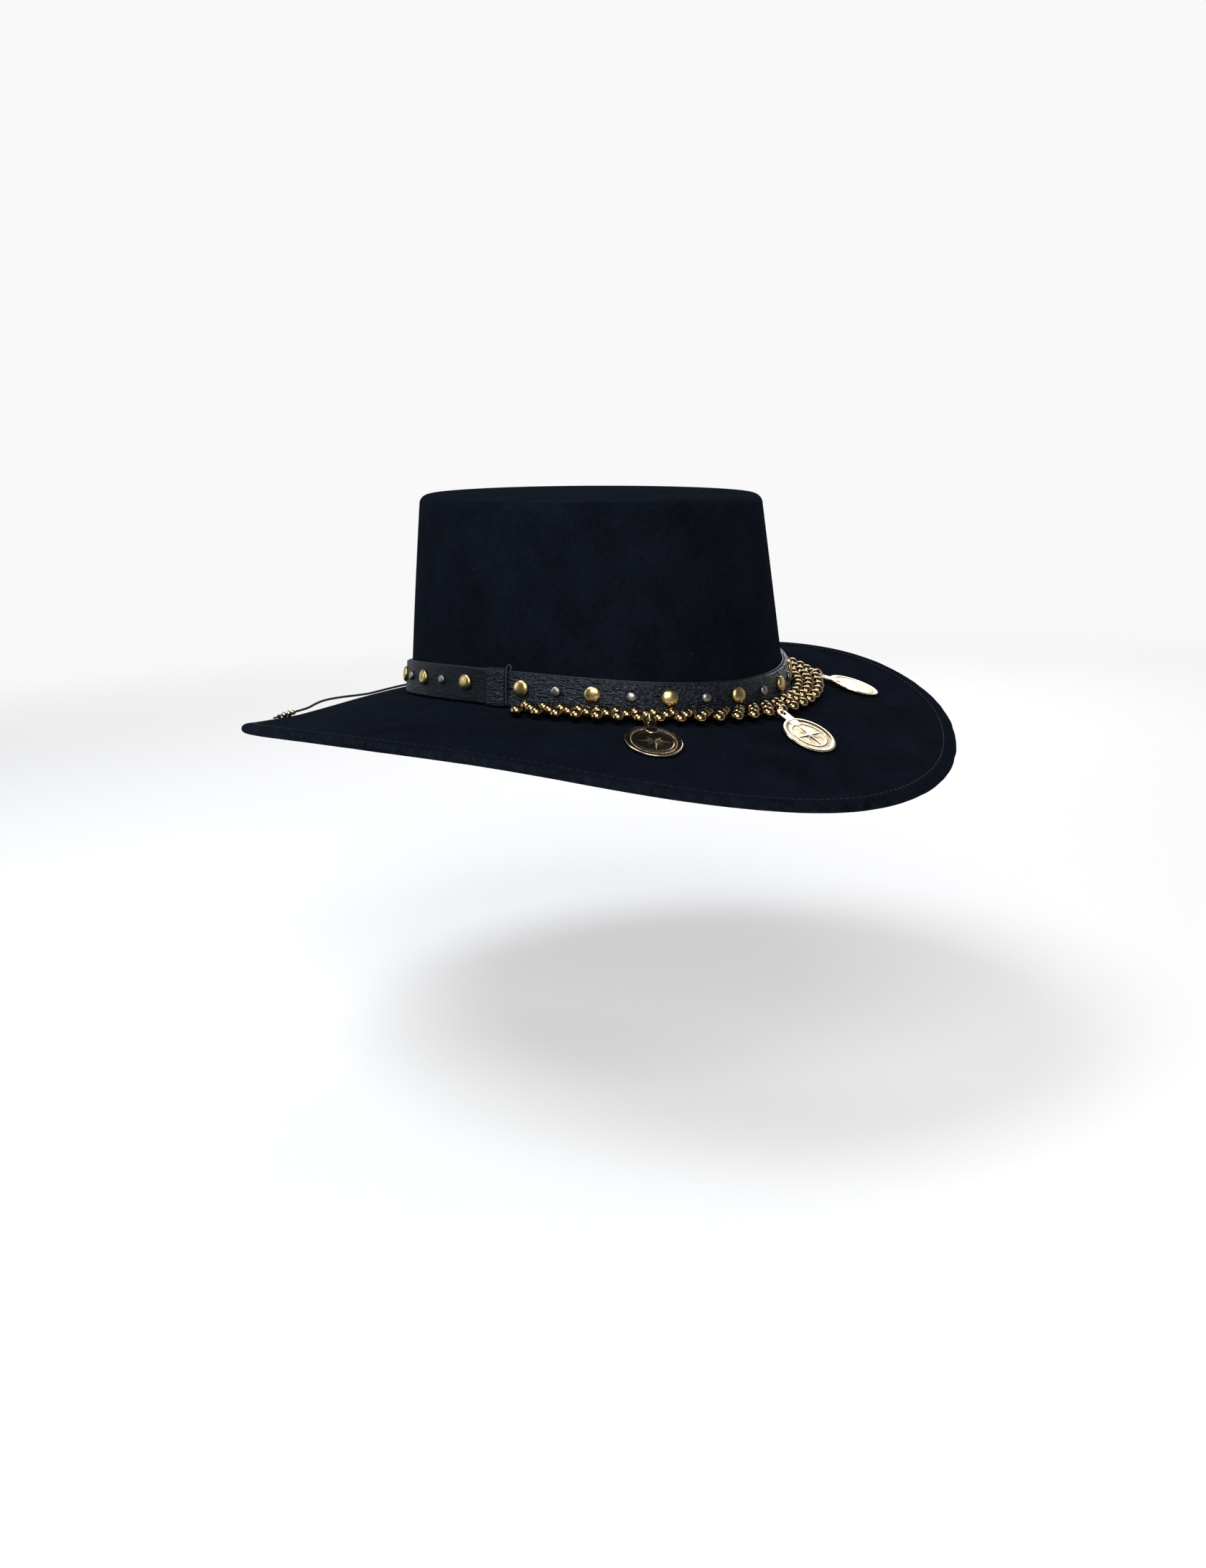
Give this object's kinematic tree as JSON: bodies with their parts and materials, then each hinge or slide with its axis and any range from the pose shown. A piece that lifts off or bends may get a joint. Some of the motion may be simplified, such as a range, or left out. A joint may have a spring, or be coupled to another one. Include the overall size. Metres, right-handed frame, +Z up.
{
  "type": "pirate hat",
  "caption": "Flat-topped felt pirate hat with a wide saddle brim, studded leather band, bead strap, hanging medallions and a beaded back lace.",
  "frame": {"origin": "middle of the head opening, level with the mean height of the brim's break, where the brim meets the crown", "axes": "+Z up along the crown, -Y the front of the hat, +X the wearer's left"},
  "size_m": [0.3412, 0.3924, 0.1402],
  "materials": {
    "felt": "matte brushed wool felt",
    "lining": "satin",
    "leather": "grained, semi-gloss",
    "lace": "smooth, satin",
    "brass": "polished",
    "pale_gold": "polished",
    "bronze": "polished",
    "gunmetal": "dull polished"
  },
  "bodies": {
    "hat": {"band_backing": "leather", "band_strip_front": "leather", "band_strip_rear": "leather", "bead_row_inner": "bronze", "bead_row_middle": "bronze", "bead_row_outer": "bronze", "crown_lining": "lining", "felt_body": "felt", "gold_stud_01": "brass", "gold_stud_02": "brass", "gold_stud_03": "brass", "gold_stud_04": "brass", "gold_stud_05": "brass", "gold_stud_06": "brass", "gold_stud_07": "brass", "gold_stud_08": "brass", "gold_stud_09": "brass", "gold_stud_10": "brass", "gold_stud_11": "brass", "gold_stud_12": "brass", "gold_stud_13": "brass", "gold_stud_14": "brass", "gold_stud_15": "brass", "gold_stud_16": "brass", "keeper_left": "leather", "keeper_right": "leather", "lace": "lace", "lace_knot": "lace", "small_stud_01": "gunmetal", "small_stud_02": "gunmetal", "small_stud_03": "gunmetal", "small_stud_04": "gunmetal", "small_stud_05": "gunmetal", "small_stud_06": "gunmetal", "small_stud_07": "gunmetal", "small_stud_08": "gunmetal", "small_stud_09": "gunmetal", "small_stud_10": "gunmetal", "small_stud_11": "gunmetal", "small_stud_12": "gunmetal", "small_stud_13": "gunmetal", "small_stud_14": "gunmetal", "small_stud_15": "gunmetal", "small_stud_16": "gunmetal", "sweatband": "leather", "sweatband_bow": "lining", "tie_cord_left": "lace", "tie_cord_right": "lace"},
    "ring_1": {"jump_ring_1": "pale_gold"},
    "medallion_1": {"medallion_1": "pale_gold"},
    "ring_2": {"jump_ring_2": "pale_gold"},
    "medallion_2": {"medallion_2": "pale_gold"},
    "ring_3": {"jump_ring_3": "pale_gold"},
    "medallion_3": {"medallion_3": "pale_gold"},
    "lace_beads": {"lace_bead_1": "brass", "lace_bead_2": "brass", "lace_bead_3": "brass"}
  },
  "joints": [
    {"name": "ring_1_swing", "type": "hinge", "parent": "hat", "child": "ring_1", "pos_m": [-0.06617, -0.09442, 0.00199], "axis": [-0.7264, 0.6872, 0], "range_deg": [0, 25]},
    {"name": "medallion_1_swing", "type": "hinge", "parent": "ring_1", "child": "medallion_1", "pos_m": [-0.06912, -0.09754, 0.0015], "axis": [-0.7264, 0.6872, 0], "range_deg": [0, 34]},
    {"name": "ring_2_swing", "type": "hinge", "parent": "hat", "child": "ring_2", "pos_m": [-0.00636, -0.12156, -0.00167], "axis": [-0.9975, 0.0706, 0], "range_deg": [0, 25]},
    {"name": "medallion_2_swing", "type": "hinge", "parent": "ring_2", "child": "medallion_2", "pos_m": [-0.00666, -0.12585, -0.00216], "axis": [-0.9975, 0.0706, 0], "range_deg": [0, 34]},
    {"name": "ring_3_swing", "type": "hinge", "parent": "hat", "child": "ring_3", "pos_m": [0.07035, -0.09025, 0.00245], "axis": [-0.6889, -0.7248, 0], "range_deg": [0, 25]},
    {"name": "medallion_3_swing", "type": "hinge", "parent": "ring_3", "child": "medallion_3", "pos_m": [0.07346, -0.09321, 0.00196], "axis": [-0.6889, -0.7248, 0], "range_deg": [0, 34]},
    {"name": "lace_beads_slide", "type": "slide", "parent": "hat", "child": "lace_beads", "axis": [0.9887, -0.0965, 0.1146], "range_m": [0, 0.006]}
  ]
}
